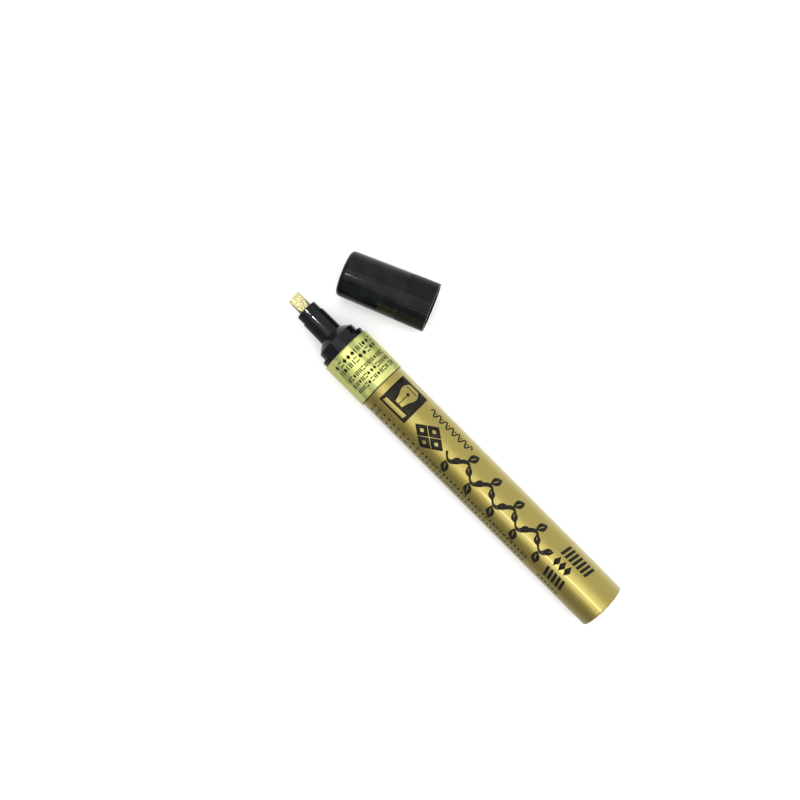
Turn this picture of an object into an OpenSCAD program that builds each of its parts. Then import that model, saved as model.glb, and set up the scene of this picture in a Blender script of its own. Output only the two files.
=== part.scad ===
// Valve-action calligraphy marker with its cap lying beside it.
// The pen lies along X: rear face at X = 0, nib towards +X, +Z up, origin at the middle of the rear face.

/* [Barrel] */
// Outer diameter of the barrel tube
barrel_d = 15.2; // [12.5:0.1:20]
// Length of the barrel tube, rear face to open mouth
barrel_len = 91.1; // [75:0.1:130]
// Wall of the drawn tube
barrel_wall = 0.45; // [0.3:0.05:0.8]
// Thickness of the closed rear end
barrel_end_wall = 0.9; // [0.6:0.1:1.5]
// Radius of the rear edge
barrel_end_round = 0.55; // [0.3:0.05:0.8]

/* [Seal label] */
// Thickness of the film wrapped around the skirt
label_thick = 0.09; // [0.06:0.01:0.2]
// Bare skirt left behind the film
label_inset = 0.25; // [0.1:0.05:1]

/* [Front section] */
// Length of the skirt that screws over the neck bush
skirt_len = 15; // [13.5:0.1:18]
// How far the skirt stands proud of the barrel
skirt_proud = 0.3; // [0.1:0.05:0.5]
// Wall of the skirt
skirt_wall = 1; // [0.8:0.05:1.3]
// Length of the flange that the cap butts against
flange_len = 1.7; // [1.2:0.05:3]
// Teeth around the front rim of the flange
flange_teeth = 76; // [40:1:90]
// Depth of a tooth gap
tooth_depth = 0.14; // [0.05:0.01:0.3]
// Length of the toothed rim
tooth_len = 0.8; // [0.4:0.1:1]
// Step in radius from the flange down to the collar that the cap slides over
collar_step = 1.05; // [0.8:0.05:1.5]
// Length of the collar
collar_len = 2.4; // [2:0.1:4]
// Length of the cone between collar and nose
shoulder_len = 1.95; // [1:0.05:3]
// Diameter of the nose where it leaves the cone
nose_base_d = 7.75; // [6.8:0.05:9.5]
// Diameter of the nose behind its lip
nose_tip_d = 7.45; // [6.6:0.05:9]
// Length of the nose, cone to lip
nose_len = 7.5; // [5.5:0.1:10]
// Diameter of the lip around the nib
lip_d = 6.8; // [6:0.05:8.5]
// Length of the lip
lip_len = 2.95; // [2.4:0.05:4]

/* [Nib] */
// Diameter of the round fibre rod
nib_d = 4.1; // [3.2:0.05:5]
// How far the nib stands out of the lip
nib_reach = 5.4; // [4:0.05:7]
// Thickness of the writing edge
nib_edge = 0.6; // [0.3:0.05:1]
// Angle of each ground face to the axis
nib_bevel = 14.3; // [10:0.1:20]
// Slant of the writing edge
nib_slant = 4; // [0:0.5:15]
// How far the nib can be pressed in
nib_travel = 2; // [1:0.1:2.5]

/* [Valve] */
// Length of the valve case
case_len = 16; // [14:0.5:20]
// Wall of the valve case
case_wall = 0.8; // [0.6:0.05:1]
// Thickness of the case's front wall, which is the valve seat
seat_wall = 1.6; // [1.2:0.1:2.2]
// Diameter of the stem's pins
stem_pin_d = 1.9; // [1.4:0.1:2]
// Thickness of the stem's disc
stem_disc_t = 1; // [0.8:0.1:1.5]
// Thickness of the soft washer
stem_seal_t = 0.7; // [0.5:0.05:1]
// Radial gap that the paint flows through at the seat
seat_gap = 0.5; // [0.3:0.05:0.6]
// Wire of the valve spring
spring_wire_d = 0.4; // [0.3:0.05:0.5]
// Turns of the valve spring
spring_turns = 7; // [5:1:9]
// Thickness of the ported retainer
retainer_t = 1.6; // [1.2:0.1:2.2]
// Ports in the retainer
port_count = 4; // [3:1:6]
// Diameter of a port
port_d = 1.3; // [0.8:0.1:1.4]

/* [Neck] */
// Wall of the bush's threaded spigot inside the skirt
bush_wall = 1.03; // [0.8:0.01:1.3]
// How deep the bush sits in the barrel's mouth
bush_depth = 9; // [6:0.5:12]
// Wall of the section's inner sleeve, which holds the valve case
sleeve_wall = 0.95; // [0.7:0.05:1.2]
// Length of the inner sleeve
sleeve_len = 9; // [6:0.5:10]
// Thickness of the flat gasket
gasket_t = 1; // [0.6:0.1:1.5]

/* [Mixing ball] */
// Diameter of the steel ball
ball_d = 6; // [4:0.1:7.4]
// Where the ball lies at rest, from the rear face
ball_rest = 40; // [20:1:60]

/* [Cap] */
// Length of the cap
cap_len = 27.9; // [23:0.1:40]
// Wall of the cap at its mouth
cap_wall = 0.95; // [0.7:0.05:1.3]
// How much smaller the closed end is than the mouth
cap_taper = 1; // [0.4:0.1:1.6]
// Wall around the inner cap's foot
cap_side_wall = 1.15; // [0.8:0.05:1.4]
// Thickness of the closed end
cap_end_wall = 1.4; // [1:0.1:2]
// Radius of the closed end's edge
cap_end_round = 1.3; // [0.8:0.1:1.6]
// Depth of the mouth that takes the collar
cap_mouth_len = 5.9; // [4:0.1:7]
// Ribs around the grip band
rib_count = 54; // [36:1:60]
// Length of the grip band
rib_len = 8.5; // [5:0.1:12]
// Plain rim between mouth and grip band
rim_len = 0.6; // [0.4:0.1:1.5]
// Depth of a gap between two ribs
rib_depth = 0.22; // [0.1:0.02:0.3]
// Wall of the inner cap
liner_wall = 0.7; // [0.5:0.05:0.9]

/* [Where the cap lies] */
// Cap's middle ahead of the flange's front face
cap_ahead = 2; // [-10:0.5:10]
// Cap's middle beside the pen's axis
cap_beside = 21; // [19:0.5:40]
// Turn of the cap's axis from the pen's axis
cap_turn = 22.87; // [0:0.01:45]

/* [Fits] */
// Gap between pieces that are pressed or stuck together
close_fit = 0.02; // [0.01:0.01:0.05]
// Gap around the nib and the stem, which slide
slide_fit = 0.07; // [0.04:0.01:0.1]
// Gap between the cap and what it slides over
cap_fit = 0.05; // [0.03:0.01:0.1]

/* [Hidden] */
$fn = 96;

// radii from the barrel inwards
barrel_r = barrel_d / 2;
bore_r = barrel_r - barrel_wall;
skirt_r = barrel_r + skirt_proud;
label_r = skirt_r + close_fit / 2 + label_thick;
bush_r = bore_r - close_fit;
spigot_r = skirt_r - skirt_wall - close_fit;
bush_in_r = spigot_r - bush_wall;
sleeve_r = bush_in_r - close_fit;
case_r = sleeve_r - sleeve_wall - close_fit;
case_in_r = case_r - case_wall;

// places along the pen
web_t = 1.9;
skirt_x = barrel_len + close_fit;
step_x = skirt_x + skirt_len;
web_x = step_x - web_t;
spigot_x = web_x - gasket_t;
seat_x = step_x + flange_len;
cone_x = seat_x + collar_len;
nose_x = cone_x + shoulder_len;
lip_x = nose_x + nose_len;
front_x = lip_x + lip_len;
tip_x = front_x + nib_reach;
label_x = skirt_x + label_inset;

// valve: the case stops against the step where the nib's well begins
case_step = 0.57;
retainer_inset = 0.8;
disc_gap = 1.4;
well_gap = 0.95;
nib_gap = 0.5;
pin_tail = 1;
case_front_x = step_x + case_step;
case_x = case_front_x - case_len;
seal_x = case_front_x - seat_wall - close_fit - stem_seal_t;
disc_x = seal_x - stem_disc_t;
nib_rear_x = case_front_x + nib_travel + nib_gap;
retainer_x = case_x + retainer_inset;
spring_x = retainer_x + retainer_t;
pin_r = stem_pin_d / 2;
disc_r = case_in_r - disc_gap;
nib_r = nib_d / 2;
well_r = nib_r + well_gap;
well_x = cone_x + shoulder_len * 0.6;

// flange and collar
flange_r = barrel_r - 0.05;
collar_r = flange_r - collar_step;

// cap, built upright with its mouth at Z = 0, then laid on the surface that the label rests on
mouth_in_r = collar_r + cap_fit;
mouth_r = mouth_in_r + cap_wall;
end_r = mouth_r - cap_taper / 2;
cap_lean = atan((mouth_r - end_r) / cap_len);
liner_in_r = nose_base_d / 2 + cap_fit;
liner_r = liner_in_r + liner_wall;
liner_seat_r = end_r - cap_side_wall;
liner_x = cap_mouth_len + 0.4;
liner_end = cap_len - cap_end_wall - close_fit;

function cap_r(s) = mouth_r - (mouth_r - end_r) * s / cap_len;

// turns a shape built along Z so that it lies along X
module along_x(x = 0) {
    translate([x, 0, 0]) rotate([0, 90, 0]) children();
}

// a ring along X from x0 to x1
module ring(x0, x1, r_out, r_in) {
    along_x(x0) difference() {
        cylinder(r = r_out, h = x1 - x0);
        translate([0, 0, -1]) cylinder(r = r_in, h = x1 - x0 + 2);
    }
}

// a solid turned about X from an outline of [place along X, radius] points
module turned(outline) {
    along_x() rotate_extrude() polygon([for (p = outline) [p[1], p[0]]]);
}

// the cap's place on the table: mouth towards the pen's middle, closed end ahead
module cap_place() {
    middle = label_r - (mouth_r + end_r) / 2 * cos(cap_lean);
    translate([seat_x + cap_ahead, -cap_beside, -middle])
        rotate([0, 90 + cap_lean, cap_turn])
            translate([0, 0, -cap_len / 2]) children();
}

// drawn tube with a closed, slightly rounded rear end
module barrel() {
    round_r = barrel_end_round;
    edge = [for (a = [0:15:90]) [round_r - round_r * cos(a), barrel_r - round_r + round_r * sin(a)]];
    color("goldenrod") turned(concat([[0, 0]], edge, [[barrel_len, barrel_r], [barrel_len, bore_r],
                                     [barrel_end_wall, bore_r], [barrel_end_wall, 0]]));
}

// bush in the barrel's mouth: a plug inside the tube, and a spigot in front that the skirt screws over
module neck_bush() {
    color("dimgray") turned([[barrel_len - bush_depth, bush_in_r], [barrel_len - bush_depth, bush_r],
                             [barrel_len, bush_r], [barrel_len, spigot_r],
                             [spigot_x, spigot_r], [spigot_x, bush_in_r]]);
}

// flat ring between the spigot's end and the section's web
module neck_gasket() {
    color("darkslategray") ring(spigot_x, web_x, spigot_r, bush_in_r);
}

// moulded front section: skirt and inner sleeve, toothed flange, collar, cone, nose and lip
module section() {
    rim_r = lip_d / 2;
    rim_round = 0.3;
    sleeve_x = web_x - sleeve_len;
    outline = [[sleeve_x, case_r + close_fit], [sleeve_x, sleeve_r], [web_x, sleeve_r],
               [web_x, skirt_r - skirt_wall], [skirt_x, skirt_r - skirt_wall], [skirt_x, skirt_r],
               [step_x, skirt_r], [step_x, flange_r],
               [seat_x - 0.15, flange_r], [seat_x, flange_r - 0.15], [seat_x, collar_r],
               [cone_x - 0.2, collar_r], [cone_x, collar_r - 0.15], [nose_x, nose_base_d / 2],
               [lip_x, nose_tip_d / 2], [lip_x + 0.12, rim_r]];
    lip = [for (a = [0:18:90]) [front_x - rim_round + rim_round * sin(a), rim_r - rim_round + rim_round * cos(a)]];
    inside = [[front_x, nib_r + slide_fit], [well_x, nib_r + slide_fit],
              [well_x, well_r], [case_front_x + close_fit, well_r],
              [case_front_x + close_fit, case_r + close_fit]];
    color("black") difference() {
        turned(concat(outline, lip, inside));
        for (i = [0:flange_teeth - 1]) rotate([i * 360 / flange_teeth, 0, 0])
            translate([seat_x - tooth_len, -0.15, flange_r - tooth_depth]) cube([tooth_len + 1, 0.3, 1]);
    }
}

// film wrapped around the skirt, up to the step behind the flange
module seal_label() {
    color("khaki") ring(label_x, step_x, label_r, skirt_r + close_fit / 2);
}

// cup whose front wall is the valve seat, with four inlets near its rear
module valve_case() {
    inlet_r = 0.75;
    seat_back = case_front_x - seat_wall;
    hole_r = pin_r + seat_gap;
    color("white") difference() {
        turned([[case_x, case_r], [case_front_x, case_r], [case_front_x, hole_r], [seat_back, hole_r],
                [seat_back, case_in_r], [case_x, case_in_r]]);
        for (a = [0:90:270]) rotate([a, 0, 0])
            translate([spring_x + 2 * inlet_r, 0, 0]) cylinder(r = inlet_r, h = case_r + 1);
    }
}

// ported disc that closes the case and guides the stem
module spring_retainer() {
    port_ring = (case_in_r + pin_r) / 2 + 0.15;
    color("lightgray") difference() {
        ring(retainer_x, spring_x, case_in_r - close_fit, pin_r + slide_fit);
        for (i = [0:port_count - 1]) rotate([i * 360 / port_count, 0, 0])
            translate([retainer_x - 1, 0, port_ring]) rotate([0, 90, 0]) cylinder(d = port_d, h = retainer_t + 2);
    }
}

// coil spring between the retainer and the stem's disc, swept along a helix with flat end turns
module valve_spring() {
    sides = 8;
    steps = 20 * (spring_turns + 2);
    wire_r = spring_wire_d / 2;
    coil_r = pin_r + slide_fit + 0.25 + wire_r;
    low = spring_x + close_fit + wire_r;
    high = disc_x - close_fit - wire_r;
    function run(t) = let (u = t * (spring_turns + 2)) u < 1 ? u * 1.1 * spring_wire_d
        : u > spring_turns + 1 ? high - low - (spring_turns + 2 - u) * 1.1 * spring_wire_d
        : 1.1 * spring_wire_d + (u - 1) / spring_turns * (high - low - 2.2 * spring_wire_d);
    rings = [for (i = [0:steps]) let (t = i / steps, a = t * 360 * (spring_turns + 2), x = low + run(t))
        for (k = [0:sides - 1]) let (b = k * 360 / sides, r = coil_r + wire_r * cos(b))
            [x + wire_r * sin(b), r * cos(a), r * sin(a)]];
    walls = [for (i = [0:steps - 1]) for (k = [0:sides - 1]) let (n = (k + 1) % sides)
        [i * sides + k, i * sides + n, (i + 1) * sides + n, (i + 1) * sides + k]];
    first = [for (k = [sides - 1:-1:0]) k];
    last = [for (k = [0:sides - 1]) steps * sides + k];
    color("silver") polyhedron(rings, concat(walls, [first, last]), convexity = 10);
}

// plunger: front pin to the nib, disc behind the seal, rear pin through the spring
module valve_stem() {
    color("gainsboro") {
        along_x(disc_x) cylinder(r = disc_r, h = stem_disc_t);
        along_x(retainer_x - pin_tail) cylinder(r = pin_r, h = nib_rear_x - retainer_x + pin_tail);
    }
}

// soft washer that closes the seat
module stem_seal() {
    color("dimgray") ring(seal_x, seal_x + stem_seal_t, disc_r, pin_r);
}

// round fibre rod ground to a chisel from above and below
module nib() {
    grind_len = (nib_r - nib_edge / 2) / tan(nib_bevel);
    side = [[nib_rear_x, nib_r], [tip_x - grind_len, nib_r], [tip_x, nib_edge / 2],
            [tip_x, -nib_edge / 2], [tip_x - grind_len, -nib_r], [nib_rear_x, -nib_r]];
    slant = nib_d * tan(nib_slant);
    top = [[nib_rear_x - 1, -nib_d], [tip_x + slant / 2, -nib_d], [tip_x - slant * 1.5, nib_d], [nib_rear_x - 1, nib_d]];
    color("khaki") intersection() {
        along_x(nib_rear_x) cylinder(r = nib_r, h = tip_x - nib_rear_x);
        translate([0, nib_d, 0]) rotate([90, 0, 0]) linear_extrude(2 * nib_d) polygon(side);
        translate([0, 0, -nib_d]) linear_extrude(2 * nib_d) polygon(top);
    }
}

// loose ball lying on the bottom of the bore
module mixing_ball() {
    color("lightsteelblue") translate([ball_rest, 0, ball_d / 2 + slide_fit - bore_r]) sphere(d = ball_d);
}

// tapered shell with a ribbed grip band behind the mouth
module cap_shell() {
    round_r = cap_end_round;
    edge = [for (i = [0:6]) [end_r - round_r + round_r * cos(i * 15), cap_len - round_r + round_r * sin(i * 15)]];
    outline = concat([[mouth_in_r, 0], [mouth_r - 0.1, 0], [mouth_r, 0.1], [cap_r(cap_len - round_r), cap_len - round_r]],
                     edge, [[0, cap_len], [0, liner_end + close_fit], [liner_seat_r, liner_end + close_fit],
                            [liner_seat_r, cap_mouth_len + 0.5], [mouth_in_r, cap_mouth_len]]);
    color("black") cap_place() difference() {
        rotate_extrude() polygon(outline);
        for (i = [0:rib_count - 1]) rotate([0, 0, i * 360 / rib_count])
            translate([mouth_r - rib_depth, -0.15, rim_len]) rotate([0, -cap_lean, 0]) cube([1, 0.3, rib_len]);
    }
}

// inner cap: a sleeve that grips the nose, with a foot that fills the shell's end
module cap_liner() {
    foot_r = liner_seat_r - close_fit;
    foot_t = 1.2;
    end_t = 0.8;
    outline = [[liner_in_r, liner_x], [liner_r, liner_x], [liner_r, liner_end - foot_t],
               [foot_r, liner_end - foot_t], [foot_r, liner_end],
               [0, liner_end], [0, liner_end - end_t], [liner_in_r, liner_end - end_t]];
    color("gainsboro") cap_place() rotate_extrude() polygon(outline);
}

barrel();
neck_bush();
neck_gasket();
section();
seal_label();
valve_case();
spring_retainer();
valve_spring();
valve_stem();
stem_seal();
nib();
mixing_ball();
cap_shell();
cap_liner();
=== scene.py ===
import math
import random
import bmesh
import bpy
from mathutils import Matrix, Vector, geometry, noise


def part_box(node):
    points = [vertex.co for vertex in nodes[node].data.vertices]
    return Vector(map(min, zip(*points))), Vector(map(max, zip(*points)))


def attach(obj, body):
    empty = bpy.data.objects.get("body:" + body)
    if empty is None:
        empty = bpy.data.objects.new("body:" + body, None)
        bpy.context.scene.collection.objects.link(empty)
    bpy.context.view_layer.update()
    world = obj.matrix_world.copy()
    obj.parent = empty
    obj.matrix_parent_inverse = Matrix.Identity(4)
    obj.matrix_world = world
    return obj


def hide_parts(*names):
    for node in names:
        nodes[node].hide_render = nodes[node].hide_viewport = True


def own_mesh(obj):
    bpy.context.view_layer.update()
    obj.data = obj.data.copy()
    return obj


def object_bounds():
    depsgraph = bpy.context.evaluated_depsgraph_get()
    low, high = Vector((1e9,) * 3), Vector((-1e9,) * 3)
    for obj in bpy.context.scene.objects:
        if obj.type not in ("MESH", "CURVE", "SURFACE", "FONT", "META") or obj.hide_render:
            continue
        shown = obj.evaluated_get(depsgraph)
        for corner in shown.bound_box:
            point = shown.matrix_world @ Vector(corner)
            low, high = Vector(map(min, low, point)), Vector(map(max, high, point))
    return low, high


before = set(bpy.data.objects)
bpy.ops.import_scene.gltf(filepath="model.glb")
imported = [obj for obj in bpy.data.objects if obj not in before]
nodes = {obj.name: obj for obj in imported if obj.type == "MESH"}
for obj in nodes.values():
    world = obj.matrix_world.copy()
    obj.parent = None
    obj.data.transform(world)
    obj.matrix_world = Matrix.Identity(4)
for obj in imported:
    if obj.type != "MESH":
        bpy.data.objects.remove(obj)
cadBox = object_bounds()
scene = bpy.context.scene
scene.view_settings.view_transform = "Standard"
mm = 0.001
print("stage 1: packed marker loaded,", len(nodes), "parts")

# places on the marker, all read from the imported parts
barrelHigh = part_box("barrel")[1]
labelLow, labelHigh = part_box("seal_label")
springLow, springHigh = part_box("valve_spring")
barrelRadius = barrelHigh.y
labelRadius = labelHigh.y


def newMaterial(name):
    material = bpy.data.materials.new(name)
    material.use_nodes = True
    tree = material.node_tree
    return material, tree, tree.nodes["Principled BSDF"]


def addNode(tree, kind, column, row, **settings):
    node = tree.nodes.new(kind)
    node.location = (-220 * column, 300 - 180 * row)
    for key, value in settings.items():
        setattr(node, key, value)
    return node


def partCoords(tree):
    return addNode(tree, "ShaderNodeTexCoord", 6, 0).outputs["Object"]


def noiseMap(tree, coords, grain, detail=3, row=0, rough=0.5):
    node = addNode(tree, "ShaderNodeTexNoise", 4, row)
    node.inputs["Scale"].default_value = 1 / (grain * mm)  # grain is in millimetres
    node.inputs["Detail"].default_value = detail
    node.inputs["Roughness"].default_value = rough
    tree.links.new(coords, node.inputs["Vector"])
    return node.outputs["Fac"]


def stretch(tree, coords, along, row=0):
    node = addNode(tree, "ShaderNodeMapping", 5, row)
    node.inputs["Scale"].default_value = along
    tree.links.new(coords, node.inputs["Vector"])
    return node.outputs["Vector"]


def ramp(tree, value, places, colours, row=0, smooth=False):
    node = addNode(tree, "ShaderNodeValToRGB", 3, row)
    if smooth:
        node.color_ramp.interpolation = "EASE"
    points = node.color_ramp.elements
    while len(points) < len(colours):
        points.new(0.5)
    for point, place, colour in zip(points, places, colours):
        point.position = place
        point.color = (*colour, 1)
    tree.links.new(value, node.inputs["Fac"])
    return node.outputs["Color"]


def spread(tree, value, low, high, newLow, newHigh, row=0):
    node = addNode(tree, "ShaderNodeMapRange", 2, row)
    for key, number in zip(("From Min", "From Max", "To Min", "To Max"), (low, high, newLow, newHigh)):
        node.inputs[key].default_value = number
    tree.links.new(value, node.inputs["Value"])
    return node.outputs["Result"]


def mixColour(tree, share, first, second, row=0, blend="MIX"):
    node = addNode(tree, "ShaderNodeMix", 2, row, data_type="RGBA", blend_type=blend)
    if isinstance(share, float):
        node.inputs[0].default_value = share
    else:
        tree.links.new(share, node.inputs[0])
    tree.links.new(first, node.inputs[6])
    tree.links.new(second, node.inputs[7])
    return node.outputs[2]


def bump(tree, shader, height, strength, depth):
    node = addNode(tree, "ShaderNodeBump", 1, 5)
    node.inputs["Strength"].default_value = strength
    node.inputs["Distance"].default_value = depth * mm
    tree.links.new(height, node.inputs["Height"])
    tree.links.new(node.outputs["Normal"], shader.inputs["Normal"])


def coordinate(tree, coords, axis, row=0):
    node = addNode(tree, "ShaderNodeSeparateXYZ", 5, row)
    tree.links.new(coords, node.inputs["Vector"])
    return node.outputs[axis]


def setShader(shader, **values):
    for key, value in values.items():
        shader.inputs[key.replace("_", " ")].default_value = value


def colourBy(tree, shader, value, places, colours, smooth=False):
    tree.links.new(ramp(tree, value, places, colours, 0, smooth), shader.inputs["Base Color"])


def roughenBy(tree, shader, value, span, roughness):
    tree.links.new(spread(tree, value, *span, *roughness, 2), shader.inputs["Roughness"])


# in every finish a grain is in millimetres, and a bump is its strength and its depth in millimetres
goldLacquer = {
    "flake": ((0.50, 0.395, 0.092), (0.66, 0.545, 0.135)),
    "flakeSpan": (0.3, 0.62),
    "flakeGrain": 0.09,
    "cloud": ((0.94, 0.94, 0.92), (1, 1, 1)),
    "cloudSpan": (0.35, 0.7),
    "cloudGrain": 6,
    "cloudStretch": (0.3, 1, 1),
    "roughness": (0.38, 0.46),
    "roughSpan": (0.3, 0.7),
    "bump": (0.12, 0.01),
    "shader": {"Metallic": 1, "Coat_Weight": 1, "Coat_Roughness": 0.035},
}


def makeGoldLacquer():
    s = goldLacquer
    material, tree, shader = newMaterial("gold_lacquer")
    coords = partCoords(tree)
    flakes = noiseMap(tree, coords, s["flakeGrain"], 2, 0)
    clouds = noiseMap(tree, stretch(tree, coords, s["cloudStretch"], 1), s["cloudGrain"], 2, 1)
    tint = ramp(tree, flakes, s["flakeSpan"], s["flake"], 0)
    shade = ramp(tree, clouds, s["cloudSpan"], s["cloud"], 1)
    tree.links.new(mixColour(tree, 1.0, tint, shade, 0, "MULTIPLY"), shader.inputs["Base Color"])
    roughenBy(tree, shader, flakes, s["roughSpan"], s["roughness"])
    setShader(shader, **s["shader"])
    bump(tree, shader, flakes, *s["bump"])
    return material


blackPlastic = {
    "flow": ((0.003, 0.0035, 0.0045), (0.009, 0.010, 0.012)),
    "flowSpan": (0.3, 0.75),
    "flowGrain": 1.6,
    "flowStretch": (0.25, 1, 1),
    "skinGrain": 0.12,
    "roughness": (0.04, 0.08),
    "roughSpan": (0.3, 0.7),
    "gloss": 0.34,
    "bump": (0.06, 0.008),
}


def makeBlackPlastic():
    s = blackPlastic
    material, tree, shader = newMaterial("black_plastic")
    coords = partCoords(tree)
    skin = noiseMap(tree, coords, s["skinGrain"], 3, 0)
    flow = noiseMap(tree, stretch(tree, coords, s["flowStretch"], 1), s["flowGrain"], 3, 1)
    colourBy(tree, shader, flow, s["flowSpan"], s["flow"])
    roughenBy(tree, shader, skin, s["roughSpan"], s["roughness"])
    setShader(shader, Specular_IOR_Level=s["gloss"])
    bump(tree, shader, skin, *s["bump"])
    return material


capPlastic = {
    "sink": ((0.003, 0.003, 0.0045), (0.008, 0.010, 0.009)),
    "sinkSpan": (0.3, 0.7),
    "sinkGrain": 5,  # slow waves of the moulded skin
    "skinGrain": 0.3,
    "roughness": (0.08, 0.18),
    "roughSpan": (0.3, 0.7),
    "gloss": 0.22,
    "bump": (0.25, 0.03),
}


def makeCapPlastic():
    s = capPlastic
    material, tree, shader = newMaterial("cap_plastic")
    coords = partCoords(tree)
    skin = noiseMap(tree, coords, s["skinGrain"], 4, 0)
    sinks = noiseMap(tree, coords, s["sinkGrain"], 2, 1)
    colourBy(tree, shader, sinks, s["sinkSpan"], s["sink"])
    roughenBy(tree, shader, skin, s["roughSpan"], s["roughness"])
    setShader(shader, Specular_IOR_Level=s["gloss"])
    bump(tree, shader, sinks, *s["bump"])
    return material


naturalPlastic = {
    "colours": ((0.66, 0.66, 0.58), (0.80, 0.80, 0.74)),
    "colourSpan": (0.3, 0.7),
    "roughness": (0.35, 0.5),
    "roughSpan": (0.3, 0.7),
    "grain": 0.4,
    "detail": 3,
    "bump": (0.1, 0.02),
    "shader": {"Subsurface_Weight": 0.25, "Subsurface_Scale": 0.8 * mm},
}

greyPlastic = {
    "colours": ((0.09, 0.09, 0.10), (0.15, 0.15, 0.16)),
    "colourSpan": (0.3, 0.7),
    "roughness": (0.4, 0.55),
    "roughSpan": (0.3, 0.7),
    "grain": 0.25,
    "detail": 3,
    "bump": (0.2, 0.02),
    "shader": {},
}

sealRubber = {
    "colours": ((0.015, 0.015, 0.015), (0.035, 0.034, 0.033)),
    "colourSpan": (0.3, 0.7),
    "roughness": (0.65, 0.85),
    "roughSpan": (0.3, 0.7),
    "grain": 0.08,
    "detail": 3,
    "bump": (0.3, 0.02),
    "shader": {},
}

springSteel = {
    "colours": ((0.38, 0.37, 0.35), (0.62, 0.61, 0.59)),
    "colourSpan": (0.3, 0.7),
    "roughness": (0.22, 0.4),
    "roughSpan": (0.3, 0.7),
    "grain": 0.1,
    "detail": 3,
    "bump": (0.15, 0.005),
    "shader": {"Metallic": 1},
}

# bare steel with patches of dried gold paint
ballSteel = {
    "colours": ((0.78, 0.77, 0.74), (0.72, 0.58, 0.22)),
    "colourSpan": (0.5, 0.7),
    "roughness": (0.08, 0.3),
    "roughSpan": (0.45, 0.7),
    "grain": 1.8,
    "detail": 4,
    "bump": (0.05, 0.01),
    "shader": {"Metallic": 1},
}

# ink that lies dense in most places and thin in some
blackInk = {
    "colours": ((0.004, 0.0035, 0.002), (0.016, 0.012, 0.006)),
    "colourSpan": (0.4, 0.72),
    "roughness": (0.3, 0.42),
    "roughSpan": (0.3, 0.7),
    "grain": 0.35,
    "detail": 4,
    "bump": (0.1, 0.01),
    "shader": {"Specular_IOR_Level": 0.2, "Coat_Weight": 0.15, "Coat_Roughness": 0.08},
}


def makeGrained(name, s):
    material, tree, shader = newMaterial(name)
    grain = noiseMap(tree, partCoords(tree), s["grain"], s["detail"], 0)
    colourBy(tree, shader, grain, s["colourSpan"], s["colours"])
    roughenBy(tree, shader, grain, s["roughSpan"], s["roughness"])
    setShader(shader, **s["shader"])
    bump(tree, shader, grain, *s["bump"])
    return material


nibFibre = {
    "fleck": ((0.20, 0.17, 0.055), (0.60, 0.53, 0.26), (0.84, 0.77, 0.43)),
    "fleckSpan": (0.40, 0.49, 0.60),
    "fleckGrain": 0.4,
    "fleckRough": 0.7,
    # olive of the fibre, made darker as painted shade for the flanks that turn sideways
    "fibre": ((0.12, 0.11, 0.04), (0.24, 0.22, 0.09)),
    "fibreSpan": (0.3, 0.7),
    "fibreGrain": 0.14,
    "fibreStretch": (0.12, 1, 1),
    # a face turned this far up or down takes the gold; faces turned further sideways take the olive as
    # painted shade
    "litTurn": (0.86, 0.95),  # how far up or down a writing face looks
    "faceEdge": (1.55, 1.9),     # mm from the middle where the face darkens
    "edgeGold": 0.3,
    "roughness": (0.62, 0.34),
    "roughSpan": (0.35, 0.65),
    "metal": 0.3,
    "bump": (0.5, 0.06),
}


def sizeOf(tree, value, row):
    node = addNode(tree, "ShaderNodeMath", 4, row, operation="ABSOLUTE")
    tree.links.new(value, node.inputs[0])
    return node.outputs[0]


def combine(tree, operation, first, second, row):
    node = addNode(tree, "ShaderNodeMath", 1, row, operation=operation)
    tree.links.new(first, node.inputs[0])
    tree.links.new(second, node.inputs[1])
    return node.outputs[0]


def makeNibFibre():
    s = nibFibre
    material, tree, shader = newMaterial("nib_fibre")
    coords = partCoords(tree)
    flecks = noiseMap(tree, coords, s["fleckGrain"], 3, 0, s["fleckRough"])
    fibres = noiseMap(tree, stretch(tree, coords, s["fibreStretch"], 1), s["fibreGrain"], 3, 1)
    gold = ramp(tree, flecks, s["fleckSpan"], s["fleck"], 0)
    flank = ramp(tree, fibres, s["fibreSpan"], s["fibre"], 1)
    # faces turned up or down in the world take the gold, faces turned sideways take the darker olive: painted
    # shade over the fibre's own olive
    facing = addNode(tree, "ShaderNodeNewGeometry", 6, 3).outputs["Normal"]
    lift = sizeOf(tree, coordinate(tree, facing, "Z", 3), 3)
    litByTurn = spread(tree, lift, *s["litTurn"], 0, 1, 3)
    # the two long edges of the writing face are darker too
    across = sizeOf(tree, coordinate(tree, coords, "Y", 4), 4)
    edge = [distance * mm for distance in s["faceEdge"]]
    middle = spread(tree, across, *edge, 1, s["edgeGold"], 4)
    goldShareAndShade = combine(tree, "MULTIPLY", litByTurn, middle, 3)
    tree.links.new(mixColour(tree, goldShareAndShade, flank, gold, 0), shader.inputs["Base Color"])
    roughenBy(tree, shader, flecks, s["roughSpan"], s["roughness"])
    setShader(shader, Metallic=s["metal"])
    bump(tree, shader, flecks, *s["bump"])
    return material


labelFilm = {
    # the film is yellow; its olive patches are painted reflection of a darker room, laid at random
    "filmAndReflection": ((0.40, 0.44, 0.15), (0.70, 0.73, 0.235)),
    "reflectionPatchSpan": (0.36, 0.52),
    "reflectionPatchGrain": 4.2,
    "reflectionPatchStretch": (0.45, 1.3, 1),
    "skinGrain": 0.1,
    "roughness": (0.36, 0.44),
    "roughSpan": (0.3, 0.7),
    "bump": (0.2, 0.05),
    "shader": {
        "Metallic": 0.66,
        "Coat_Weight": 0.2,
        "Coat_Roughness": 0.1,
        "Specular_Tint": (0.8, 0.8, 0.6, 1),
    },
}


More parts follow.
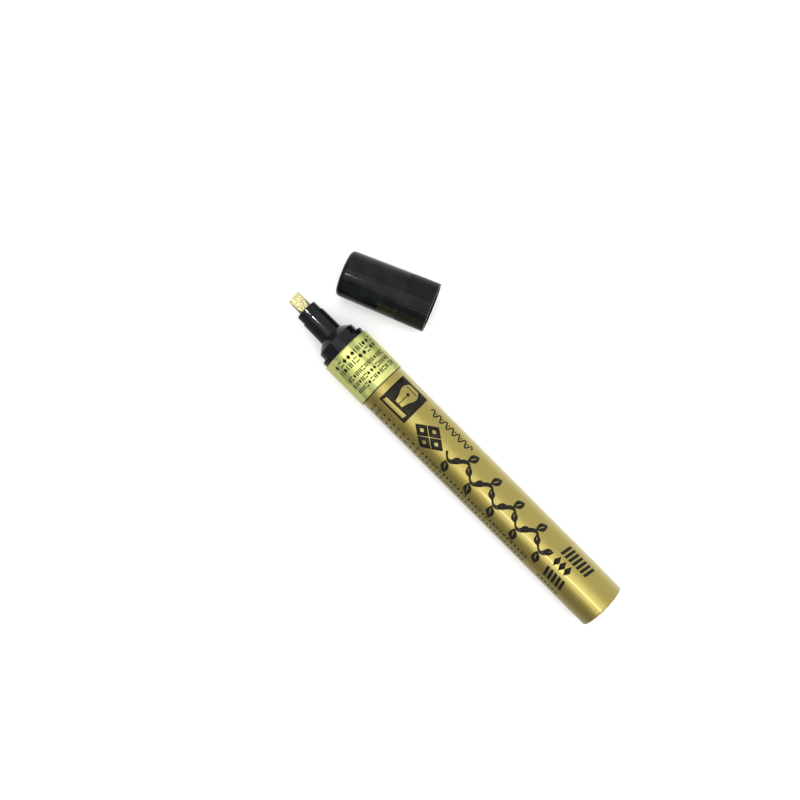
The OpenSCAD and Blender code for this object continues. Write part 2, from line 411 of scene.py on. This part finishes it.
def makeLabelFilm():
    s = labelFilm
    material, tree, shader = newMaterial("label_film")
    coords = partCoords(tree)
    reflectionPatches = noiseMap(tree, stretch(tree, coords, s["reflectionPatchStretch"], 0), s["reflectionPatchGrain"], 2, 0)
    skin = noiseMap(tree, coords, s["skinGrain"], 2, 1)
    # painted reflection: olive patches mottle the yellow film colour
    colourBy(tree, shader, reflectionPatches, s["reflectionPatchSpan"], s["filmAndReflection"], True)
    roughenBy(tree, shader, skin, s["roughSpan"], s["roughness"])
    setShader(shader, **s["shader"])
    bump(tree, shader, reflectionPatches, *s["bump"])
    return material


def coverPart(node, material):
    for slot in nodes[node].material_slots:
        slot.material = material


naturalMaterial = makeGrained("natural_plastic", naturalPlastic)
rubberMaterial = makeGrained("seal_rubber", sealRubber)
filmMaterial = makeLabelFilm()
inkMaterial = makeGrained("print_ink", blackInk)
coverPart("barrel", makeGoldLacquer())
coverPart("section", makeBlackPlastic())
coverPart("cap_shell", makeCapPlastic())
coverPart("nib", makeNibFibre())
coverPart("mixing_ball", makeGrained("ball_steel", ballSteel))
coverPart("neck_bush", makeGrained("grey_plastic", greyPlastic))
for name in ("valve_case", "spring_retainer", "valve_stem", "cap_liner"):
    coverPart(name, naturalMaterial)
for name in ("neck_gasket", "stem_seal"):
    coverPart(name, rubberMaterial)
print("stage 2: finishes made")


def addPiece(name, art, material):
    mesh = bpy.data.meshes.new(name)
    art.to_mesh(mesh)
    art.free()
    mesh.materials.append(material)
    piece = bpy.data.objects.new(name, mesh)
    scene.collection.objects.link(piece)
    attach(piece, "pen")
    return piece


def addSkin(piece, thick):
    skin = piece.modifiers.new("skin", "SOLIDIFY")
    skin.thickness = thick * mm
    skin.offset = -1


# flat art is drawn in millimetres: x runs back from the front edge, y round the tube towards the cap


def fillShape(art, outer, holes=()):
    loops = [[Vector((*p, 0)) for p in loop] for loop in (outer, *holes)]
    verts = [art.verts.new(p) for loop in loops for p in loop]
    for corners in geometry.tessellate_polygon(loops):
        art.faces.new([verts[i] for i in corners])


def boxLoop(x0, y0, x1, y1, slant=0):
    return [(x0, y0), (x1, y0), (x1 + slant, y1), (x0 + slant, y1)]


def roundBoxLoop(x0, y0, x1, y1, r, steps=4):
    corners = [(x1 - r, y0 + r, -90), (x1 - r, y1 - r, 0), (x0 + r, y1 - r, 90), (x0 + r, y0 + r, 180)]
    turns = [(cx, cy, math.radians(a + i * 90 / steps)) for cx, cy, a in corners for i in range(steps + 1)]
    return [(cx + r * math.cos(a), cy + r * math.sin(a)) for cx, cy, a in turns]


def diamondLoop(x, y, halfWide, halfTall):
    return [(x - halfWide, y), (x, y - halfTall), (x + halfWide, y), (x, y + halfTall)]


def discLoop(x, y, r, steps=20):
    turns = [i * math.tau / steps for i in range(steps)]
    return [(x + r * math.cos(a), y + r * math.sin(a)) for a in turns]


def leafLoop(x, y, long, wide, turn, start=0, end=1, steps=12):
    # a lens from its stalk at x, y towards its tip, in the direction of turn
    shares = [start + (end - start) * i / steps for i in range(steps + 1)]
    edge = [(t * long, wide / 2 * math.sin(math.pi * (t - start) / (end - start))) for t in shares]
    loop = edge + [(px, -py) for px, py in edge[-2:0:-1]]
    c, s = math.cos(turn), math.sin(turn)
    return [(x + px * c - py * s, y + px * s + py * c) for px, py in loop]


def penLine(art, points, thin, thick, penAngle):
    # a broad pen: the line is thickest where it runs across the angle that the nib is held at
    held = math.radians(penAngle)
    pairs = []
    for k, (x, y) in enumerate(points):
        (xa, ya), (xb, yb) = points[max(k - 1, 0)], points[min(k + 1, len(points) - 1)]
        turn = math.atan2(yb - ya, xb - xa)
        half = (thin + (thick - thin) * abs(math.sin(turn - held))) / 2
        dx, dy = -half * math.sin(turn), half * math.cos(turn)
        pairs.append((art.verts.new((x + dx, y + dy, 0)), art.verts.new((x - dx, y - dy, 0))))
    for (a, b), (c, d) in zip(pairs, pairs[1:]):
        art.faces.new((a, b, d, c))


def waveLine(x0, x1, y, tall, periods, steps=16):
    count = int(periods * steps)
    return [(x0 + (x1 - x0) * i / count, y + tall * math.sin(math.tau * i / steps)) for i in range(count + 1)]


def wrapArt(name, art, radius, frontX, thick):
    low = min(v.co.y for v in art.verts)
    high = max(v.co.y for v in art.verts)
    step = 0.5  # one facet every half millimetre round the tube
    for k in range(1, int((high - low) / step) + 1):
        geom = art.verts[:] + art.edges[:] + art.faces[:]
        bmesh.ops.bisect_plane(art, geom=geom, plane_co=(0, low + k * step, 0), plane_no=(0, 1, 0))
    for v in art.verts:
        turn = -v.co.y * mm / radius
        v.co = (frontX - v.co.x * mm, radius * math.sin(turn), radius * math.cos(turn))
    for face in art.faces:
        face.normal_update()
        centre = face.calc_center_median()
        if face.normal.dot(Vector((0, centre.y, centre.z))) < 0:
            face.normal_flip()
        face.smooth = True
    piece = addPiece(name, art, inkMaterial)
    addSkin(piece, thick)
    return piece


barrelPrint = {"proud": 0.016, "thick": 0.012}


def wrapOnBarrel(name, art):
    s = barrelPrint
    return wrapArt(name, art, barrelRadius + s["proud"] * mm, barrelHigh.x, s["thick"])


emblem = {
    "box": (2.3, -3.3, 12.4, 7.6),
    "corner": 0.25,
    "top": 6.8,
    "topWide": 3.0,
    "flankTop": 6.5,
    "flankTall": 4.6,
    "flankWide": 3.8,
    "belly": 0.85,        # how far each flank bulges
    "flankSteps": 10,
    "bottom": -0.3,
    "bottomWide": 2.6,
    "hole": (3.6, 0.55),  # height of its middle, and its radius
    "slit": 0.26,
    "crossLine": (5.2, 4.0, 0.3),  # its low edge, length and thickness
    "bar": ((-3.9, 1.9), (3.9, 2.2), (3.6, 0.8), (-4.2, 0.6)),  # from the middle of the box's low edge
}


def printEmblem():
    s = emblem
    art = bmesh.new()
    x0, y0, x1, y1 = s["box"]
    cx = (x0 + x1) / 2
    # a broad nib that has just drawn a bar: shoulders, tapering sides and a square edge
    outline = [(cx + s["topWide"] / 2, s["top"])]
    for i in range(s["flankSteps"] + 1):
        t = i / s["flankSteps"]
        bulge = s["belly"] * math.sin(math.pi * t)
        outline.append((cx + s["flankWide"] / 2 + bulge, s["flankTop"] - s["flankTall"] * t))
    outline.append((cx + s["bottomWide"] / 2, s["bottom"]))
    outline += [(2 * cx - x, y) for x, y in reversed(outline)]
    bar = [(cx + dx, y0 + dy) for dx, dy in s["bar"]]
    fillShape(art, roundBoxLoop(x0, y0, x1, y1, s["corner"]), [outline, bar])
    holeHigh, holeRadius = s["hole"]
    fillShape(art, discLoop(cx, holeHigh, holeRadius))
    fillShape(art, boxLoop(cx - s["slit"] / 2, s["bottom"], cx + s["slit"] / 2, holeHigh - holeRadius))
    low, long, thick = s["crossLine"]
    fillShape(art, boxLoop(cx - long / 2, low, cx + long / 2, low + thick))
    return wrapOnBarrel("print_emblem", art)


fineWave = {
    "from": 15.2,
    "to": 31.6,
    "middle": 5.6,
    "tall": 1.1,
    "periods": 6.5,
    "line": (0.34, 0.5, 20),  # thin, thick, and the pen's angle in degrees
    "dot": (0.3, 0.38),
    "dotUp": 0.5,
    "dotShare": 0.75,         # how far along each wave its dot stands
}


def printFineWave():
    s = fineWave
    art = bmesh.new()
    penLine(art, waveLine(s["from"], s["to"], s["middle"], s["tall"], s["periods"]), *s["line"])
    pitch = (s["to"] - s["from"]) / s["periods"]
    for k in range(int(s["periods"])):
        x = s["from"] + (k + s["dotShare"]) * pitch
        fillShape(art, diamondLoop(x, s["middle"] + s["dotUp"], *s["dot"]))
    return wrapOnBarrel("print_fine_wave", art)


vine = {
    "from": 26.6,
    "to": 68.2,
    "middle": 0.1,
    "tall": 1.7,
    "periods": 4.5,
    "line": (0.55, 1.3, 145),  # thin, thick, and the pen's angle in degrees
    # each bend has a leaf outside its crest and a leaf inside it
    "outer": {"long": 4.2, "wide": 2.6, "turn": 62, "back": -0.6, "rise": 0.35, "way": 1},
    "inner": {"long": 3.4, "wide": 2.0, "turn": 38, "back": 0.5, "rise": -0.55, "way": -1},
    "rib": 0.3,
    "ribShare": (0.2, 0.72),   # where the rib starts and ends along its leaf
}

rosette = {
    "middle": (20.3, -0.9),
    "diamond": (2.75, 2.0),
    "apart": 1.06,
    "hole": 0.3,  # share of each diamond that its hole takes
}


def addLeaf(art, x, y, leaf, side):
    turn = leaf["way"] * side * math.radians(leaf["turn"])
    rib = leafLoop(x, y, leaf["long"], vine["rib"], turn, *vine["ribShare"])
    fillShape(art, leafLoop(x, y, leaf["long"], leaf["wide"], turn), [rib])


def addRosette(art):
    s = rosette
    cx, cy = s["middle"]
    wide, tall = s["diamond"]
    for dx, dy in ((-wide, 0), (wide, 0), (0, tall), (0, -tall)):
        x, y = cx + dx * s["apart"], cy + dy * s["apart"]
        hole = diamondLoop(x, y, wide * s["hole"], tall * s["hole"])
        fillShape(art, diamondLoop(x, y, wide, tall), [hole])


def printVine():
    s = vine
    art = bmesh.new()
    penLine(art, waveLine(s["from"], s["to"], s["middle"], -s["tall"], s["periods"]), *s["line"])
    pitch = (s["to"] - s["from"]) / s["periods"]
    for k in range(int(2 * s["periods"])):
        side = -1 if k % 2 == 0 else 1
        x = s["from"] + (k / 2 + 0.25) * pitch  # a crest every half wave, the first after a quarter
        for leaf in (s["outer"], s["inner"]):
            addLeaf(art, x + leaf["back"], s["middle"] + side * (s["tall"] + leaf["rise"]), leaf, side)
    addRosette(art)
    return wrapOnBarrel("print_vine", art)


boldRows = {
    "from": 70.4,
    "bar": 0.98,
    "pitch": 1.52,
    "slant": 0.9,
    "top": (2.4, 6.6, 7),        # low edge, high edge and number of bars
    "bottom": (-6.2, -2.7, 5),
    "diamond": (1.0, 1.8),       # half its width and height
    "diamondMiddle": 0.0,
    "diamondPitch": 2.1,
    "diamonds": 3,
}


def printBoldRows():
    s = boldRows
    art = bmesh.new()
    for (low, high, count), slant in ((s["top"], s["slant"]), (s["bottom"], -s["slant"])):
        for k in range(count):
            x = s["from"] + max(0, -slant) + k * s["pitch"]
            fillShape(art, boxLoop(x, low, x + s["bar"], high, slant))
    halfWide, halfTall = s["diamond"]
    for k in range(s["diamonds"]):
        x = s["from"] + halfWide + k * s["diamondPitch"]
        fillShape(art, diamondLoop(x, s["diamondMiddle"], halfWide, halfTall))
    return wrapOnBarrel("print_bold_rows", art)


fineRows = {
    "from": 2.3,
    "to": 64.9,
    "rows": (-6.2, -8.3),
    "tall": 1.15,
    "wide": 0.8,
    "wideMore": 0.2,           # at most added to a mark's width, by chance
    "stroke": 0.34,
    "looseTo": 20,             # the marks stand further apart up to here
    "loosePitch": 1.95,
    "pitch": 1.45,
    "dashes": (70.4, 79.0, 6),  # start, end and number
    "dashShare": 0.62,         # of its pitch that a dash fills
    "dashTall": 0.7,
}


def addMark(art, dice, x, y, wide, tall, stroke):
    # one small upright mark: a pair of bars, lying or standing, or a diamond
    kind = dice.randrange(3)
    low, high = y - tall / 2, y + tall / 2
    if kind == 0:
        fillShape(art, boxLoop(x, low, x + wide, low + stroke))
        fillShape(art, boxLoop(x, high - stroke, x + wide, high))
    elif kind == 1:
        fillShape(art, boxLoop(x, low, x + stroke, high))
        fillShape(art, boxLoop(x + wide - stroke, low, x + wide, high))
    else:
        fillShape(art, diamondLoop(x + wide / 2, y, wide / 2, tall / 2))


def printFineRows():
    s = fineRows
    art = bmesh.new()
    dice = random.Random(7)
    for y in s["rows"]:
        x = s["from"]
        while x < s["to"]:
            wide = s["wide"] + s["wideMore"] * dice.random()
            addMark(art, dice, x, y, wide, s["tall"], s["stroke"])
            x += s["loosePitch"] if x < s["looseTo"] else s["pitch"]
    start, end, count = s["dashes"]
    pitch = (end - start) / count
    low = s["rows"][1] - s["dashTall"] / 2
    for k in range(count):
        x = start + k * pitch
        fillShape(art, boxLoop(x, low, x + pitch * s["dashShare"], low + s["dashTall"]))
    return wrapOnBarrel("print_fine_rows", art)


printEmblem()
printFineWave()
printVine()
printBoldRows()
printFineRows()
print("stage 3: barrel print wrapped")


sealFilm = {
    "inset": 0.026,      # mm under the label's own radius, room for the print
    "thick": 0.008,
    "lap": 9.0,          # mm that the film overlaps itself
    "lapLift": 0.012,
    "lapRise": 0.25,     # radians over which the lap climbs onto the first turn
    "seam": 128,         # degrees from the top
    "columns": 22,
    "rows": 220,
    "ripple": 0.005,
    "rippleGrain": 3,    # mm
    "rippleRound": 2.2,  # how fast the ripples change round the label
    "rippleSink": 0.4,   # keeps most of the ripples on the inside
}


def wrapSealFilm():
    s = sealFilm
    length = labelHigh.x - labelLow.x
    outer = labelRadius - s["inset"] * mm
    lap = s["lap"] * mm / labelRadius
    total = math.tau + lap
    pace = s["rippleRound"]
    art = bmesh.new()
    grid = []
    for i in range(s["rows"] + 1):
        gone = total * i / s["rows"]
        turn = math.radians(s["seam"]) + gone
        over = max(0.0, gone - math.tau + s["lapRise"])
        lift = s["lapLift"] * min(1, over / s["lapRise"])
        line = []
        for j in range(s["columns"] + 1):
            x = labelLow.x + length * j / s["columns"]
            spot = Vector((x / mm / s["rippleGrain"], math.cos(turn) * pace, math.sin(turn) * pace))
            ripple = s["ripple"] * (noise.noise(spot) - s["rippleSink"]) if over == 0 else 0
            r = outer + (lift + ripple) * mm
            line.append(art.verts.new((x, r * math.sin(turn), r * math.cos(turn))))
        grid.append(line)
    for a, b in zip(grid, grid[1:]):
        for j in range(s["columns"]):
            art.faces.new((a[j], a[j + 1], b[j + 1], b[j])).smooth = True
    art.normal_update()
    first = art.faces[:][0]
    centre = first.calc_center_median()
    if first.normal.dot(Vector((0, centre.y, centre.z))) < 0:
        bmesh.ops.reverse_faces(art, faces=art.faces[:])
    piece = addPiece("seal_film", art, filmMaterial)
    addSkin(piece, s["thick"])
    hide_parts("seal_label")
    return piece


labelPrint = {
    "proud": -0.004,
    "thick": 0.005,
    # each row's place, and the height and width of its marks
    "rows": ((2.63, 1.6, 1.3), (4.78, 1.6, 1.3), (7.77, 1.3, 0.92), (9.95, 1.3, 0.92), (12.01, 1.3, 0.92)),
    "from": -7.1,
    "to": 9.6,
    "ragged": 0.5,       # at most added to a row's start, by chance
    "gap": 0.28,
    "wideGap": 0.7,
    "gapShare": 0.85,    # of the marks that are followed by the narrow gap
    "stroke": 0.34,
}


def printLabelMarks():
    # the rows run round the label, so each mark is drawn turned by a quarter
    s = labelPrint
    art = bmesh.new()
    dice = random.Random(11)
    for x, tall, wide in s["rows"]:
        y = s["from"] + s["ragged"] * dice.random()
        while y < s["to"] - wide:
            addMark(art, dice, x - tall / 2, y + wide / 2, tall, wide, s["stroke"])
            y += wide + (s["gap"] if dice.random() < s["gapShare"] else s["wideGap"])
    return wrapArt("label_marks", art, labelRadius + s["proud"] * mm, labelHigh.x, s["thick"])


wrapSealFilm()
printLabelMarks()
print("stage 4: label film wrapped")


valveSpring = {
    "wire": 0.4,
    "turns": 7,
    "restTurns": 1,    # closed turns at each end
    "restPitch": 1.1,  # rise of a closed turn, in wires
    "travel": 2.0,
    "sides": 12,
    "steps": 24,
}


def coilValveSpring():
    s = valveSpring
    wire = s["wire"] * mm / 2
    low, high = springLow.x + wire, springHigh.x - wire
    coil = springHigh.y - wire
    count = s["turns"] + 2 * s["restTurns"]
    lay = s["restPitch"] * 2 * wire
    art = bmesh.new()
    rings = []
    for i in range(s["steps"] * count + 1):
        u = i / s["steps"]
        if u < 1:
            x = low + u * lay
        elif u > count - 1:
            x = high - (count - u) * lay
        else:
            x = low + lay + (u - 1) / s["turns"] * (high - low - 2 * lay)
        a = math.tau * u
        ring = []
        for k in range(s["sides"]):
            b = math.tau * k / s["sides"]
            r = coil + wire * math.cos(b)
            ring.append(art.verts.new((x + wire * math.sin(b), r * math.cos(a), r * math.sin(a))))
        rings.append(ring)
    for ring, following in zip(rings, rings[1:]):
        for k in range(s["sides"]):
            n = (k + 1) % s["sides"]
            art.faces.new((ring[k], ring[n], following[n], following[k])).smooth = True
    art.faces.new(rings[0])
    art.faces.new(rings[-1][::-1])
    bmesh.ops.recalc_face_normals(art, faces=art.faces[:])
    piece = addPiece("valve_spring_coil", art, makeGrained("spring_steel", springSteel))
    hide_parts("valve_spring")
    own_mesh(piece)
    return piece


coilValveSpring()
print("stage 5: valve spring coiled")


studio = {
    "middle": 0.06,      # x of the table's centre
    "floorRadius": 2.4,
    "floorRings": (0.3, 0.9),
    "wallHeight": 0.35,
    "curve": 0.5,        # how far the bend from floor to wall reaches in
    "bendSteps": 8,
    "sides": 96,
    "skyFar": 0.68,      # brightness of the room beyond the cap
    "skyNear": 0.20,     # and on the side away from the cap
    "skySpan": (-0.5, 0.6),
    "lowGlow": 0.32,     # added towards the floor, because the table isn't mirrored
    "lowSpan": (0, -0.7),
    "lens": 65.27,
    "sensor": 36,
    "clip": (0.01, 20),
    "eye": (0.073, 0, 0.424),
    "up": (0.7077, -0.7065, 0),
    "shift": (-0.0324, 0.0372),
}

paperWhite = {"colours": ((0.86, 0.86, 0.86), (0.88, 0.88, 0.88)), "span": (0.3, 0.7), "grain": 2.0}


def makePaperWhite():
    s = paperWhite
    material, tree, shader = newMaterial("paper_white")
    grain = noiseMap(tree, partCoords(tree), s["grain"], 2, 0)
    colourBy(tree, shader, grain, s["span"], s["colours"])
    setShader(shader, Roughness=1, Specular_IOR_Level=0)
    return material


def tableProfile():
    s = studio
    flat = s["floorRadius"] - s["curve"]
    profile = [(r, 0) for r in (*s["floorRings"], flat)]
    for k in range(s["bendSteps"]):
        a = math.pi / 2 * (k + 1) / s["bendSteps"]
        profile.append((flat + s["curve"] * math.sin(a), s["wallHeight"] * (1 - math.cos(a))))
    return profile


def addTable():
    s = studio
    art = bmesh.new()
    rings = []
    for r, h in tableProfile():
        turns = [k * math.tau / s["sides"] for k in range(s["sides"])]
        spots = [(s["middle"] + r * math.cos(a), r * math.sin(a), cadBox[0].z + h) for a in turns]
        rings.append([art.verts.new(spot) for spot in spots])
    art.faces.new(rings[0])
    for k in range(s["sides"]):
        n = (k + 1) % s["sides"]
        for a, b in zip(rings, rings[1:]):
            art.faces.new((a[k], b[k], b[n], a[n])).smooth = True
    mesh = bpy.data.meshes.new("table")
    art.to_mesh(mesh)
    art.free()
    mesh.materials.append(makePaperWhite())
    table = bpy.data.objects.new("table", mesh)
    scene.collection.objects.link(table)
    table.visible_glossy = False  # the sky's lower half is mirrored instead


lights = {
    "ceiling": {
        "at": (0.06, 0, 1.1),
        "aim": (0.06, 0, 0),
        "size": (1.6, 1.6),
        "watts": 26,
        "glossy": False,
    },
    "softBox": {
        "at": (0.0, 0.09, 0.5),
        "aim": (0.0, 0.09, 0),
        "size": (0.7, 0.44),
        "watts": 0.7,
        "diffuse": False,
    },
    "rearBox": {
        "at": (-0.18, 0.2, 0.5),
        "aim": (-0.18, 0.2, 0),
        "size": (0.36, 0.5),
        "watts": 0.75,
        "diffuse": False,
    },
    "tube": {
        "at": (-0.115, 0.1613, 0.49),
        "aim": (-0.1, 0, 0),
        "size": (0.27, 0.02),
        "watts": 0.3,
        "diffuse": False,
    },
    "glint": {
        "at": (0.1345, 0.006, 0.11),
        "aim": (0.1345, 0.006, 0),
        "size": (0.0014, 0.007),
        "watts": 0.012,
        "diffuse": False,
    },
}


def addLight(name, s):
    data = bpy.data.lights.new(name, "AREA")
    data.shape = "RECTANGLE"
    data.size, data.size_y = s["size"]
    data.energy = s["watts"]
    lamp = bpy.data.objects.new(name, data)
    scene.collection.objects.link(lamp)
    lamp.location = s["at"]
    facing = Vector(s["aim"]) - Vector(s["at"])
    lamp.rotation_euler = facing.to_track_quat("-Z", "Y").to_euler()
    lamp.visible_camera = False
    lamp.visible_diffuse = s.get("diffuse", True)
    lamp.visible_glossy = s.get("glossy", True)


def addSky():
    s = studio
    world = bpy.data.worlds.new("studio")
    world.use_nodes = True
    tree = world.node_tree
    direction = addNode(tree, "ShaderNodeTexCoord", 6, 0).outputs["Generated"]
    room = spread(tree, coordinate(tree, direction, "Y", 0), *s["skySpan"], s["skyFar"], s["skyNear"], 0)
    low = spread(tree, coordinate(tree, direction, "Z", 1), *s["lowSpan"], 0, s["lowGlow"], 1)
    tree.links.new(combine(tree, "ADD", room, low, 0), tree.nodes["Background"].inputs["Color"])
    scene.world = world


def addCamera():
    s = studio
    data = bpy.data.cameras.new("camera")
    data.lens = s["lens"]
    data.sensor_width = s["sensor"]
    data.shift_x, data.shift_y = s["shift"]
    data.clip_start, data.clip_end = s["clip"]
    camera = bpy.data.objects.new("camera", data)
    scene.collection.objects.link(camera)
    eye, ahead = Vector(s["eye"]), Vector((0, 0, -1))
    up = Vector(s["up"]).normalized()
    right = ahead.cross(up)
    turn = Matrix((right, up, -ahead)).transposed()
    camera.matrix_world = Matrix.Translation(eye) @ turn.to_4x4()
    scene.camera = camera


addTable()
addSky()
addCamera()
for name, settings in lights.items():
    addLight(name, settings)
print("stage 6: table, lights and camera placed")
